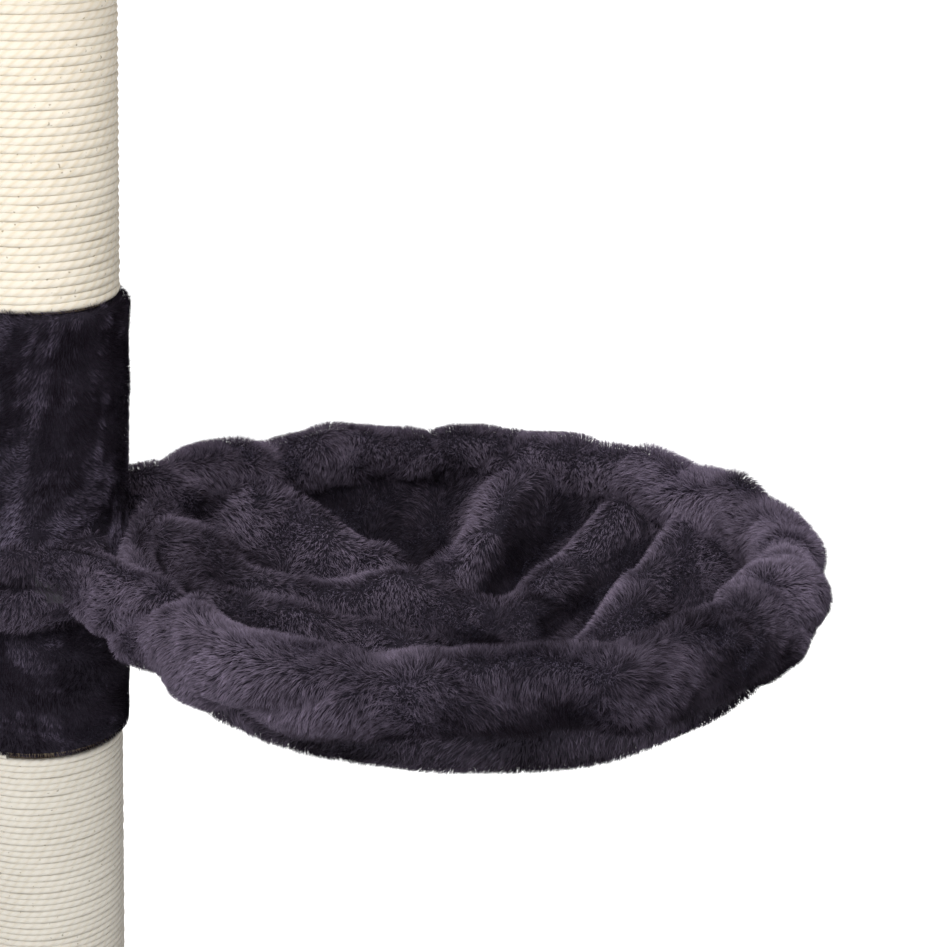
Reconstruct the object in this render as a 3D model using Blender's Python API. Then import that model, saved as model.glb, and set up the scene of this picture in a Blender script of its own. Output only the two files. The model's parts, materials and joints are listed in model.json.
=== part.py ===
"""Cat tree: a sisal post in two halves with a plush hammock clamped between them.

Metres, +Z up. The origin is on the floor under the middle of the base, and +X runs
from the post towards the hammock.
"""
import math

import bmesh
import bpy
from mathutils import Matrix

for leftover in list(bpy.data.objects):
    bpy.data.objects.remove(leftover, do_unlink=True)

# ---------------------------------------------------------------- driving dimensions
GAP = 0.0003  # clearance between pieces that touch
CUT_PAST = 0.01  # how far a cutter runs past the face it opens
ROUND = 40  # facets round a large turned piece
SMALL_ROUND = 16  # facets round a bolt, a washer or a foot

BASE_LENGTH = 0.70
BASE_WIDTH = 0.50
BASE_THICK = 0.018
TOP_LENGTH = 0.40
TOP_WIDTH = 0.40
TOP_THICK = 0.018
BOARD_CORNER = 0.04  # radius of the boards' corners
COVER_THICK = 0.004  # plush pulled over a board

FOOT_RADIUS = 0.020
FOOT_HEIGHT = 0.005
FOOT_INSET = 0.060  # from the board's edges to a foot's middle

POST_X = -0.15  # the post's axis
TUBE_RADIUS = 0.045
TUBE_WALL = 0.005
LOWER_TUBE_LENGTH = 0.50
UPPER_TUBE_LENGTH = 0.50
ROPE_THICK = 0.005
SLEEVE_THICK = 0.009
LOWER_SLEEVE_HEIGHT = 0.104
UPPER_SLEEVE_HEIGHT = 0.158

PLUG_THICK = 0.025
JOINT_PLUG_THICK = 0.050  # the upper post's lower plug, which the side screws hold
INSERT_FLANGE_RADIUS = 0.010
INSERT_FLANGE_THICK = 0.0015
INSERT_RADIUS = 0.0065
INSERT_LENGTH = 0.018

BOLT_RADIUS = 0.004
BOLT_HEAD_RADIUS = 0.008
BOLT_HEAD_HEIGHT = 0.005
BOLT_HOLE_CLEARANCE = 0.0005
THREAD_GRIP = 0.015  # length of a bolt or stud inside its insert
WASHER_RADIUS = 0.012
WASHER_THICK = 0.0016
POCKET_CLEARANCE = 0.0015  # round and above a bolt head and its washer

SCREW_COUNT = 8
SCREW_FIRST_ANGLE = -84.0  # degrees round the post from +X
SCREW_HEIGHT = 0.030  # above the upper post's lower end
SCREW_RADIUS = 0.002
SCREW_LENGTH = 0.024
SCREW_HEAD_RADIUS = 0.004
SCREW_HEAD_HEIGHT = 0.002

PLATE_THICK = 0.003
PLATE_INSET = 0.001  # from the tube's outside
TONGUE_WIDTH = 0.036
TONGUE_PAST_ROD = 0.003

ROD_RADIUS = 0.004
RING_RADIUS = 0.195  # to the middle of the rod
RING_OFF_SLEEVE = 0.002  # between the sleeve and the rod
RIM_RADIUS = 0.024
RIM_OFF_SLEEVE = 0.003
BAG_DEPTH = 0.100  # below the middle of the rod
BAG_WALL = 0.006
BAG_ROUNDNESS = 2.0  # power of the bag's rounded profile, where 2 is an ellipse

COLLAR_THICK = 0.004
STRAP_HEIGHT = 0.030
STRAP_OFF_SLEEVE = 0.001
STRAP_END_ANGLE = 295.0  # degrees round the post from +X
FLAP_HEIGHT = 0.052
FLAP_END_X = 0.006  # from the post's axis
TAPE_THICK = 0.001  # each half of the hook-and-loop closure
TAPE_HEIGHT = 0.022
TAPE_LENGTH = 0.016
TAPE_GAP = 0.0005

# -------------------------------------------------------------------- derived places
base_bottom = FOOT_HEIGHT + GAP
base_top = base_bottom + BASE_THICK
base_cover_top = base_top + GAP + COVER_THICK
lower_start = base_cover_top + GAP
lower_end = lower_start + LOWER_TUBE_LENGTH
plate_bottom = lower_end + GAP
plate_top = plate_bottom + PLATE_THICK
upper_start = plate_top + GAP
upper_end = upper_start + UPPER_TUBE_LENGTH
top_bottom = upper_end + GAP
top_top = top_bottom + TOP_THICK

bolt_hole = BOLT_RADIUS + BOLT_HOLE_CLEARANCE
pocket_radius = WASHER_RADIUS + POCKET_CLEARANCE
pocket_depth = WASHER_THICK + BOLT_HEAD_HEIGHT + POCKET_CLEARANCE

tube_bore = TUBE_RADIUS - TUBE_WALL
plug_radius = tube_bore - GAP
skin_radius = TUBE_RADIUS + GAP
rope_radius = skin_radius + ROPE_THICK
sleeve_radius = skin_radius + SLEEVE_THICK

ring_z = plate_top + GAP + ROD_RADIUS
ring_to_post = sleeve_radius + RING_OFF_SLEEVE + ROD_RADIUS
ring_x = POST_X + ring_to_post + RING_RADIUS
rim_clear = sleeve_radius + RIM_OFF_SLEEVE + RIM_RADIUS
to_ring = ring_x - POST_X
rim_start = math.acos(
    (to_ring**2 + RING_RADIUS**2 - rim_clear**2) / (2 * to_ring * RING_RADIUS)
)  # angle at the ring's middle between the post and the rim's open end
rim_end_x = ring_x - (RING_RADIUS + RIM_RADIUS) * math.cos(rim_start)

# ------------------------------------------------------------------------- finishes
PLUSH = ((0.045, 0.040, 0.056), 0.95, 0.0)
SISAL = ((0.78, 0.71, 0.55), 0.90, 0.0)
CARDBOARD = ((0.45, 0.33, 0.20), 0.85, 0.0)
CHIPBOARD = ((0.55, 0.42, 0.27), 0.80, 0.0)
PINE = ((0.62, 0.47, 0.30), 0.65, 0.0)
ZINC = ((0.62, 0.62, 0.60), 0.35, 1.0)
BLACK_STEEL = ((0.03, 0.03, 0.03), 0.40, 0.5)
RUBBER = ((0.03, 0.03, 0.03), 0.70, 0.0)
NYLON = ((0.02, 0.02, 0.025), 0.80, 0.0)


def finish(obj, look):
    """Gives the object a material of its own."""
    colour, roughness, metallic = look
    material = bpy.data.materials.new(obj.name)
    material.use_nodes = True
    shader = material.node_tree.nodes["Principled BSDF"]
    shader.inputs["Base Color"].default_value = (*colour, 1.0)
    shader.inputs["Roughness"].default_value = roughness
    shader.inputs["Metallic"].default_value = metallic
    obj.data.materials.append(material)


def add_object(name, mesh, location=(0, 0, 0), look=None):
    obj = bpy.data.objects.new(name, mesh)
    obj.location = location
    bpy.context.scene.collection.objects.link(obj)
    if look:
        finish(obj, look)
    return obj


def mesh_from(name, bm):
    """Turns a bmesh into a mesh with its faces outwards and round sides smooth."""
    bmesh.ops.recalc_face_normals(bm, faces=bm.faces)
    mesh = bpy.data.meshes.new(name)
    bm.to_mesh(mesh)
    bm.free()
    mesh.shade_smooth()
    mesh.set_sharp_from_angle(angle=math.radians(40))
    return mesh


def turned(name, profile, location, look, steps=ROUND):
    """A profile of (radius, height) points carried round Z.

    A profile that starts and ends off the axis is joined end to start, and one that
    starts and ends on the axis closes at its poles.
    """
    bm = bmesh.new()
    points = [bm.verts.new((radius, 0, height)) for radius, height in profile]
    for first, second in zip(points, points[1:]):
        bm.edges.new((first, second))
    if profile[0][0] > 0:
        bm.edges.new((points[-1], points[0]))
    bmesh.ops.spin(
        bm,
        geom=bm.verts[:] + bm.edges[:],
        angle=math.tau,
        steps=steps,
        axis=(0, 0, 1),
        cent=(0, 0, 0),
    )
    bmesh.ops.remove_doubles(bm, verts=bm.verts, dist=1e-5)
    return add_object(name, mesh_from(name, bm), location, look)


def pipe(name, outer, inner, height, location, look, steps=ROUND):
    """A straight tube that stands on its location."""
    profile = [(outer, height), (outer, 0), (inner, 0), (inner, height)]
    return turned(name, profile, location, look, steps)


def lofted(name, sections, look, closed=False):
    """Skins a row of equal point loops, capping both ends unless it closes."""
    bm = bmesh.new()
    rows = [[bm.verts.new(point) for point in section] for section in sections]
    pairs = list(zip(rows, rows[1:]))
    if closed:
        pairs.append((rows[-1], rows[0]))
    else:
        bm.faces.new(rows[0])
        bm.faces.new(rows[-1])
    count = len(rows[0])
    for row, following in pairs:
        for i in range(count):
            j = (i + 1) % count
            bm.faces.new((row[i], row[j], following[j], following[i]))
    return add_object(name, mesh_from(name, bm), look=look)


def rounded_slab(bm, length, width, corner, bottom, top):
    """Adds a flat board with round corners, centred on Z, to a bmesh."""
    block = bmesh.ops.create_cube(bm, size=1.0)["verts"]
    bmesh.ops.scale(bm, vec=(length, width, top - bottom), verts=block)
    bmesh.ops.translate(bm, vec=(0, 0, (top + bottom) / 2), verts=block)
    edges = {edge for vert in block for edge in vert.link_edges}
    upright = [e for e in edges if abs(e.verts[0].co.z - e.verts[1].co.z) > 1e-6]
    bmesh.ops.bevel(
        bm, geom=upright, offset=corner, segments=6, profile=0.5, affect="EDGES"
    )


def board(name, length, width, thick, location, look):
    bm = bmesh.new()
    rounded_slab(bm, length, width, BOARD_CORNER, 0, thick)
    return add_object(name, mesh_from(name, bm), location, look)


def cutter(name, bm, location=(0, 0, 0)):
    obj = add_object(name, mesh_from(name, bm), location)
    obj.hide_render = True
    obj.display_type = "WIRE"
    return obj


def drill(radius, depth, location, name):
    """A round cutter that starts at its location and goes up by depth."""
    bm = bmesh.new()
    bmesh.ops.create_cone(
        bm,
        cap_ends=True,
        segments=SMALL_ROUND,
        radius1=radius,
        radius2=radius,
        depth=depth,
        matrix=Matrix.Translation((0, 0, depth / 2)),
    )
    return cutter(name, bm, location)


def cut(obj, tool):
    modifier = obj.modifiers.new(tool.name, "BOOLEAN")
    modifier.operation = "DIFFERENCE"
    modifier.solver = "EXACT"
    modifier.object = tool


def on_post(height):
    return (POST_X, 0, height)


# --------------------------------------------------------------- boards, covers, feet
def bolted_board(name, length, width, thick, middle, pocket_from_top):
    """A board with one bolt hole on the post's axis and a pocket for the bolt head."""
    slab = board(name, length, width, thick, middle, CHIPBOARD)
    bottom = middle[2]
    below = on_post(bottom - CUT_PAST)
    cut(slab, drill(bolt_hole, thick + 2 * CUT_PAST, below, name + "_hole"))
    start = on_post(bottom + thick - pocket_depth) if pocket_from_top else below
    cut(slab, drill(pocket_radius, pocket_depth + CUT_PAST, start, name + "_pocket"))


def board_cover(name, length, width, thick, middle, hole_radius):
    """Plush over a board's top and edges, open below, with a hole on the post's axis."""
    bm = bmesh.new()
    side = 2 * (GAP + COVER_THICK)
    corner = BOARD_CORNER + GAP + COVER_THICK
    rounded_slab(bm, length + side, width + side, corner, 0, thick + GAP + COVER_THICK)
    cover = add_object(name, mesh_from(name, bm), middle, PLUSH)
    bm = bmesh.new()
    room = 2 * GAP
    rounded_slab(bm, length + room, width + room, BOARD_CORNER + GAP, -CUT_PAST, thick + GAP)
    cut(cover, cutter(name + "_inside", bm, middle))
    hole_start = on_post(middle[2] + thick - CUT_PAST)
    cut(cover, drill(hole_radius, COVER_THICK + 3 * CUT_PAST, hole_start, name + "_hole"))


base_middle = (0, 0, base_bottom)
top_middle = on_post(top_bottom)
bolted_board("base_board", BASE_LENGTH, BASE_WIDTH, BASE_THICK, base_middle, False)
board_cover("base_cover", BASE_LENGTH, BASE_WIDTH, BASE_THICK, base_middle, bolt_hole)
bolted_board("top_board", TOP_LENGTH, TOP_WIDTH, TOP_THICK, top_middle, True)
board_cover("top_cover", TOP_LENGTH, TOP_WIDTH, TOP_THICK, top_middle, pocket_radius)

foot_x = BASE_LENGTH / 2 - FOOT_INSET
foot_y = BASE_WIDTH / 2 - FOOT_INSET
foot_places = {
    "foot_front_left": (-foot_x, -foot_y, 0),
    "foot_front_right": (foot_x, -foot_y, 0),
    "foot_back_left": (-foot_x, foot_y, 0),
    "foot_back_right": (foot_x, foot_y, 0),
}
for foot_name, foot_place in foot_places.items():
    foot_profile = [(0, FOOT_HEIGHT), (FOOT_RADIUS, FOOT_HEIGHT), (FOOT_RADIUS, 0), (0, 0)]
    turned(foot_name, foot_profile, foot_place, RUBBER, SMALL_ROUND)


# ------------------------------------------------------------------------- fasteners
def bolt(name, head_seat, grip_end):
    """A pan-headed bolt. It may point up or down, from its head's seat to its tip."""
    up = 1 if grip_end > head_seat else -1
    shank = abs(grip_end - head_seat)
    profile = [
        (0, up * shank),
        (BOLT_RADIUS, up * shank),
        (BOLT_RADIUS, 0),
        (BOLT_HEAD_RADIUS, 0),
        (BOLT_HEAD_RADIUS, -up * BOLT_HEAD_HEIGHT * 0.6),
        (BOLT_HEAD_RADIUS * 0.7, -up * BOLT_HEAD_HEIGHT),
        (0, -up * BOLT_HEAD_HEIGHT),
    ]
    turned(name, profile, on_post(head_seat), ZINC, SMALL_ROUND)


def washer(name, bottom):
    pipe(name, WASHER_RADIUS, bolt_hole, WASHER_THICK, on_post(bottom), ZINC, SMALL_ROUND)


base_pocket_roof = base_bottom + pocket_depth
base_washer_bottom = base_pocket_roof - GAP - WASHER_THICK
washer("base_washer", base_washer_bottom)
bolt("base_bolt", base_washer_bottom - GAP, lower_start + THREAD_GRIP)

top_washer_bottom = top_top - pocket_depth + GAP
washer("top_washer", top_washer_bottom)
bolt("top_bolt", top_washer_bottom + WASHER_THICK + GAP, upper_end - THREAD_GRIP)

stud_bottom = lower_end - THREAD_GRIP
stud_length = upper_start + THREAD_GRIP - stud_bottom
stud_profile = [(0, stud_length), (BOLT_RADIUS, stud_length), (BOLT_RADIUS, 0), (0, 0)]
turned("joint_stud", stud_profile, on_post(stud_bottom), ZINC, SMALL_ROUND)


def screw_angles():
    return [
        math.radians(SCREW_FIRST_ANGLE + i * 360.0 / SCREW_COUNT) for i in range(SCREW_COUNT)
    ]


def screw_pose(angle):
    """Turns +Z to point outwards from the post at this angle and screw height."""
    place = Matrix.Translation(on_post(upper_start + SCREW_HEIGHT))
    return place @ Matrix.Rotation(angle, 4, "Z") @ Matrix.Rotation(math.pi / 2, 4, "Y")


def screw_cutter(name, radius, start, end):
    """Round holes for all the side screws, from one distance off the axis to another."""
    bm = bmesh.new()
    for angle in screw_angles():
        bmesh.ops.create_cone(
            bm,
            cap_ends=True,
            segments=12,
            radius1=radius,
            radius2=radius,
            depth=end - start,
            matrix=screw_pose(angle) @ Matrix.Translation((0, 0, (start + end) / 2)),
        )
    return cutter(name, bm)


screw_seat = TUBE_RADIUS + GAP
screw_tip = screw_seat - SCREW_LENGTH
for number, angle in enumerate(screw_angles(), start=1):
    screw_profile = [
        (0, screw_seat + SCREW_HEAD_HEIGHT),
        (SCREW_HEAD_RADIUS * 0.6, screw_seat + SCREW_HEAD_HEIGHT),
        (SCREW_HEAD_RADIUS, screw_seat + SCREW_HEAD_HEIGHT * 0.5),
        (SCREW_HEAD_RADIUS, screw_seat),
        (SCREW_RADIUS, screw_seat),
        (SCREW_RADIUS, screw_tip + SCREW_RADIUS),
        (0, screw_tip),
    ]
    screw = turned(f"side_screw_{number}", screw_profile, (0, 0, 0), ZINC, 12)
    screw.matrix_world = screw_pose(angle)

shank_holes = screw_cutter("shank_holes", SCREW_RADIUS + GAP, screw_tip - GAP, sleeve_radius)
head_holes = screw_cutter(
    "head_holes", SCREW_HEAD_RADIUS + GAP, tube_bore, sleeve_radius + CUT_PAST
)


# ------------------------------------------------------------------ tubes and windings
def plug(name, thick, start, face_up):
    """A plug in a tube's end, stepped for the threaded insert at its outer face."""
    hole = INSERT_RADIUS + GAP
    seat = INSERT_FLANGE_RADIUS + GAP
    step = INSERT_FLANGE_THICK + GAP
    if face_up:
        profile = [(plug_radius, thick), (plug_radius, 0), (hole, 0)]
        profile += [(hole, thick - step), (seat, thick - step), (seat, thick)]
    else:
        profile = [(plug_radius, thick), (plug_radius, 0), (seat, 0)]
        profile += [(seat, step), (hole, step), (hole, thick)]
    return turned(name, profile, on_post(start), PINE)


def insert(name, face, face_up):
    """A threaded insert with its flange flush with the plug's outer face."""
    side = -1 if face_up else 1
    bore = BOLT_RADIUS + GAP
    profile = [
        (INSERT_FLANGE_RADIUS, 0),
        (INSERT_FLANGE_RADIUS, side * INSERT_FLANGE_THICK),
        (INSERT_RADIUS, side * INSERT_FLANGE_THICK),
        (INSERT_RADIUS, side * INSERT_LENGTH),
        (bore, side * INSERT_LENGTH),
        (bore, 0),
    ]
    turned(name, profile, on_post(face), ZINC, SMALL_ROUND)


pipe("lower_tube", TUBE_RADIUS, tube_bore, LOWER_TUBE_LENGTH, on_post(lower_start), CARDBOARD)
upper_tube = pipe(
    "upper_tube", TUBE_RADIUS, tube_bore, UPPER_TUBE_LENGTH, on_post(upper_start), CARDBOARD
)
cut(upper_tube, shank_holes)

plug("lower_plug_bottom", PLUG_THICK, lower_start, False)
plug("lower_plug_top", PLUG_THICK, lower_end - PLUG_THICK, True)
joint_plug = plug("upper_plug_bottom", JOINT_PLUG_THICK, upper_start, False)
cut(joint_plug, shank_holes)
plug("upper_plug_top", PLUG_THICK, upper_end - PLUG_THICK, True)
insert("lower_insert_bottom", lower_start, False)
insert("lower_insert_top", lower_end, True)
insert("upper_insert_bottom", upper_start, False)
insert("upper_insert_top", upper_end, True)


def skin(name, outer, bottom, top, look):
    """A covering round the tube between two heights."""
    return pipe(name, outer, skin_radius, top - bottom, on_post(bottom), look)


lower_sleeve_bottom = lower_end - LOWER_SLEEVE_HEIGHT
upper_sleeve_top = upper_start + UPPER_SLEEVE_HEIGHT
skin("lower_sisal", rope_radius, lower_start, lower_sleeve_bottom - GAP, SISAL)
skin("lower_sleeve", sleeve_radius, lower_sleeve_bottom, lower_end, PLUSH)
upper_sleeve = skin("upper_sleeve", sleeve_radius, upper_start, upper_sleeve_top, PLUSH)
cut(upper_sleeve, head_holes)
skin("upper_sisal", rope_radius, upper_sleeve_top + GAP, upper_end, SISAL)


# ---------------------------------------------------------------------------- hammock
def plate_outline():
    """A disc on the post's axis that runs out in a straight tongue towards +X."""
    half = TONGUE_WIDTH / 2
    plate_radius = TUBE_RADIUS - PLATE_INSET
    meet = math.asin(half / plate_radius)
    arc = [meet + (math.tau - 2 * meet) * i / 32 for i in range(33)]
    outline = [(plate_radius * math.cos(a), plate_radius * math.sin(a)) for a in arc]
    tip = ring_to_post + TONGUE_PAST_ROD
    return outline + [(tip, -half), (tip, half)]


plate_sections = [
    [(POST_X + x, y, height) for x, y in plate_outline()] for height in (plate_bottom, plate_top)
]
plate = lofted("hammock_plate", plate_sections, BLACK_STEEL)
plate_drill = on_post(plate_bottom - CUT_PAST)
cut(plate, drill(bolt_hole, PLATE_THICK + 2 * CUT_PAST, plate_drill, "plate_hole"))


def ring_point(angle, radial=0.0, height=0.0):
    """A point near the ring: the angle is measured at its middle from the post."""
    reach = RING_RADIUS + radial
    return (ring_x - reach * math.cos(angle), -reach * math.sin(angle), ring_z + height)


def ring_section(angle, radius, facets):
    turns = [math.tau * i / facets for i in range(facets)]
    return [ring_point(angle, radius * math.cos(t), radius * math.sin(t)) for t in turns]


ROD_STEPS = 60
ROD_FACETS = 6
rod_sections = [
    ring_section(math.tau * i / ROD_STEPS, ROD_RADIUS, ROD_FACETS) for i in range(ROD_STEPS)
]
lofted("hammock_ring", rod_sections, BLACK_STEEL, closed=True)

RIM_STEPS = 40
RIM_FACETS = 10
rim_angles = [
    rim_start + (math.tau - 2 * rim_start) * i / RIM_STEPS for i in range(RIM_STEPS + 1)
]
rim_outside = [ring_section(a, RIM_RADIUS, RIM_FACETS) for a in rim_angles]
rim_inside = [ring_section(a, ROD_RADIUS + 2 * GAP, RIM_FACETS) for a in rim_angles]
lofted("hammock_rim", rim_outside + rim_inside[::-1], PLUSH, closed=True)


def bag_curve(radius, depth, steps):
    """A rounded bowl's outline from its edge down to its lowest point."""
    power = 2 / BAG_ROUNDNESS
    turns = [math.pi / 2 * i / steps for i in range(steps)]
    outline = [(radius * math.cos(t) ** power, -depth * math.sin(t) ** power) for t in turns]
    return outline + [(0, -depth)]


BAG_STEPS = 9
bag_edge = ring_z - RIM_RADIUS - GAP
bag_hang = BAG_DEPTH - RIM_RADIUS - GAP
bag_outside = bag_curve(RING_RADIUS + BAG_WALL / 2, bag_hang, BAG_STEPS)
bag_inside = bag_curve(RING_RADIUS - BAG_WALL / 2, bag_hang - BAG_WALL, BAG_STEPS)
turned("hammock_bag", bag_inside[::-1] + bag_outside, (ring_x, 0, bag_edge), PLUSH)


# ----------------------------------------------------------------------- post collar
def strip(name, inner_path, outer_path, height, look):
    """An upright band between two plan outlines, centred on the ring's height."""
    sections = []
    for (inner_x, inner_y), (outer_x, outer_y) in zip(inner_path, outer_path):
        low = ring_z - height / 2
        high = ring_z + height / 2
        sections.append(
            [
                (POST_X + inner_x, inner_y, low),
                (POST_X + outer_x, outer_y, low),
                (POST_X + outer_x, outer_y, high),
                (POST_X + inner_x, inner_y, high),
            ]
        )
    lofted(name, sections, look)


def arc_path(radius, first, last, steps):
    """Points round the post between two angles in degrees."""
    turns = [math.radians(first + (last - first) * i / steps) for i in range(steps + 1)]
    return [(radius * math.cos(t), radius * math.sin(t)) for t in turns]


collar_end = rim_end_x - POST_X - RIM_OFF_SLEEVE
strap_inner = sleeve_radius + STRAP_OFF_SLEEVE
strap_outer = strap_inner + COLLAR_THICK
strap_paths = [
    [(collar_end, radius)] + arc_path(radius, 90, STRAP_END_ANGLE, 28)
    for radius in (strap_inner, strap_outer)
]
strip("collar_strap", *strap_paths, STRAP_HEIGHT, PLUSH)

loop_inner = strap_outer + GAP
loop_outer = loop_inner + TAPE_THICK
tape_start = math.degrees(math.acos(FLAP_END_X / loop_outer))
tape_turn = math.degrees(TAPE_LENGTH / loop_outer)
loop_paths = [
    arc_path(radius, -tape_start + 2, -tape_start + 2 + tape_turn, 4)
    for radius in (loop_inner, loop_outer)
]
strip("fastener_loop", *loop_paths, TAPE_HEIGHT, NYLON)

hook_inner = loop_outer + TAPE_GAP
hook_outer = hook_inner + TAPE_THICK
hook_ends = (FLAP_END_X + 0.002, FLAP_END_X + 0.002 + TAPE_LENGTH)
hook_paths = [[(x, -y) for x in hook_ends] for y in (hook_inner, hook_outer)]
strip("fastener_hook", *hook_paths, TAPE_HEIGHT, NYLON)

flap_inner = hook_outer + GAP
flap_outer = flap_inner + COLLAR_THICK
flap_paths = [[(x, -y) for x in (FLAP_END_X, collar_end)] for y in (flap_inner, flap_outer)]
strip("collar_flap", *flap_paths, FLAP_HEIGHT, PLUSH)

# The stand's pieces and the hammock's pieces hang on an empty each, and the
# hammock's is on the post's axis, which it turns about.
stand = bpy.data.objects.new("stand", None)
swivel = bpy.data.objects.new("hammock_swivel", None)
swivel.location = on_post(ring_z)
for empty in (stand, swivel):
    bpy.context.scene.collection.objects.link(empty)
bpy.context.view_layer.update()
HAMMOCK_PIECES = ("hammock_", "collar_", "fastener_")
for obj in list(bpy.data.objects):
    if obj in (stand, swivel):
        continue
    parent = swivel if obj.name.startswith(HAMMOCK_PIECES) else stand
    obj.parent = parent
    obj.matrix_parent_inverse = parent.matrix_world.inverted()
bpy.context.view_layer.update()
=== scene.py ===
# %% [markdown]
# # A cat tree with a round plush hammock
#
# The frame, loaded first, holds the tree's hard design: two rope-wound posts, boards,
# bolts and a steel ring. This lesson dresses it: wound sisal rope, plush sleeves, a
# rolled and gathered hammock of long-haired plush, and covered boards. Every new piece
# is a surface worked out as whole arrays, and every hair is a small bent blade.

# %% Load the frame
import json
import math

import bmesh
import bpy
import numpy as np
from mathutils import Matrix, Vector


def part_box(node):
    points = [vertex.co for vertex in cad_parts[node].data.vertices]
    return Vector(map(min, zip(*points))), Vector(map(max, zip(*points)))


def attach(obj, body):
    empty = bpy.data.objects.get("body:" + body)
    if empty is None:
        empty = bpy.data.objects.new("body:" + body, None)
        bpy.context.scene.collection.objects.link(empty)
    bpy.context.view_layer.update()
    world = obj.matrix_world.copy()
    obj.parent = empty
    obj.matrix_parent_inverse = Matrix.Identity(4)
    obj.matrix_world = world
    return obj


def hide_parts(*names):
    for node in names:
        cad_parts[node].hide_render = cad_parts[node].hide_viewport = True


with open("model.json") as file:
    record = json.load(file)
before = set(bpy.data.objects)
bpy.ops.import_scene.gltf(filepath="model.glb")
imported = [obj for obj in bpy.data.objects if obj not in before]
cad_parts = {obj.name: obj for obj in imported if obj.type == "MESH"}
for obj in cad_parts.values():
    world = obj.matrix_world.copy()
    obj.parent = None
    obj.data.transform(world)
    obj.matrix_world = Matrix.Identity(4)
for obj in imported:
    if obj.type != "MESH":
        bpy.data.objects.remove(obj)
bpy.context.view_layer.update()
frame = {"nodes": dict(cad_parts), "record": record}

TAU = math.tau

# %% [markdown]
# ## Places to build from
#
# Nothing here is measured twice. The post's axis, the ring's middle and radius and the
# ends of each sleeve and winding are read from the frame's own pieces, so that cloth
# and rope land where the solids are.

# %% Read the driving places
tube_low, tube_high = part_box("upper_tube")
ring_low, ring_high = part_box("hammock_ring")
bag_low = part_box("hammock_bag")[0]
sleeve_low, sleeve_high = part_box("upper_sleeve")

POST_X = (tube_low.x + tube_high.x) / 2
TUBE_RADIUS = (tube_high.x - tube_low.x) / 2
SLEEVE_RADIUS = (sleeve_high.x - sleeve_low.x) / 2
ROD_RADIUS = (ring_high.z - ring_low.z) / 2
RING_X = (ring_low.x + ring_high.x) / 2
RING_Z = (ring_low.z + ring_high.z) / 2
RING_RADIUS = (ring_high.x - ring_low.x) / 2 - ROD_RADIUS
BAG_DEPTH = RING_Z - bag_low.z
print(f"ring of {RING_RADIUS:.3f} m at {RING_X:.3f}, {RING_Z:.3f}; bag {BAG_DEPTH:.3f} m deep")

# %% [markdown]
# ## Meshes from arrays
#
# A grid of points becomes a mesh in one step: each point's number is its row and
# column, and each face joins four neighbours. Wrapping a row or column round makes a
# tube or a ring.


# %% Mesh helpers
def new_mesh(name, points, faces, uv=None, smooth=True):
    """Makes an object from points and same-sized faces, with corner UVs if given."""
    mesh = bpy.data.meshes.new(name)
    mesh.vertices.add(len(points))
    mesh.vertices.foreach_set("co", np.ascontiguousarray(points, np.float32).ravel())
    mesh.loops.add(faces.size)
    mesh.loops.foreach_set("vertex_index", faces.astype(np.int32).ravel())
    mesh.polygons.add(len(faces))
    starts = np.arange(len(faces), dtype=np.int32) * faces.shape[1]
    mesh.polygons.foreach_set("loop_start", starts)
    mesh.update(calc_edges=True)
    if uv is not None:
        layer = mesh.uv_layers.new(name="lie")
        layer.data.foreach_set("uv", np.ascontiguousarray(uv, np.float32).ravel())
    if smooth:
        mesh.shade_smooth()
    obj = bpy.data.objects.new(name, mesh)
    bpy.context.scene.collection.objects.link(obj)
    return obj


def grid_faces(rows, columns, wrap_rows=False, wrap_columns=False):
    """Corner numbers of each cell in a grid of points numbered row by row."""
    i = np.arange(rows if wrap_rows else rows - 1)[:, None]
    j = np.arange(columns if wrap_columns else columns - 1)[None, :]
    here, below = i * columns, (i + 1) % rows * columns
    right = (j + 1) % columns
    cells = np.stack([here + j, below + j, below + right, here + right], -1)
    return cells.reshape(-1, 4)


def put_on(obj, body, slot, *materials):
    """Lets a piece ride on a body and gives it its finish; the slot is not used."""
    for material in materials:
        obj.data.materials.append(material)
    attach(obj, body)
    return obj


def unit(v):
    return v / np.maximum(np.linalg.norm(v, axis=-1, keepdims=True), 1e-12)


def grid_normals(points, wrap_rows=False, wrap_columns=False):
    """Normals of a grid: the cross product of its two directions at every point."""
    def along(axis, wrap):
        if wrap:
            return np.roll(points, -1, axis) - np.roll(points, 1, axis)
        return np.gradient(points, axis=axis)
    return unit(np.cross(along(0, wrap_rows), along(1, wrap_columns)))


print("helpers ready")

# %% [markdown]
# ## Shader sums
#
# A finish is arithmetic on sockets: mix a dark root into a lit tip, add some grain,
# cut it off at a level. Wrapping a socket in a small class lets that be written as
# ordinary Python sums.


# %% Shader helpers
class Sum:
    """A node's output that can be added, multiplied and compared like a number."""

    def __init__(self, socket):
        self.socket = socket

    def _math(self, operation, first, second):
        return node(self.socket.id_data, "Math", {"operation": operation}, {0: first, 1: second})

    def __add__(self, other):
        return self._math("ADD", self, other)

    def __radd__(self, other):
        return self._math("ADD", other, self)

    def __sub__(self, other):
        return self._math("SUBTRACT", self, other)

    def __rsub__(self, other):
        return self._math("SUBTRACT", other, self)

    def __mul__(self, other):
        return self._math("MULTIPLY", self, other)

    def __rmul__(self, other):
        return self._math("MULTIPLY", other, self)

    def __pow__(self, other):
        return self._math("POWER", self, other)

    def over(self, level, softness):
        """0 below a level, 1 above it, with a soft step between."""
        settings = {"interpolation_type": "SMOOTHSTEP"}
        inputs = {"Value": self, "From Min": level - softness, "From Max": level + softness}
        return node(self.socket.id_data, "MapRange", settings, inputs)


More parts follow.
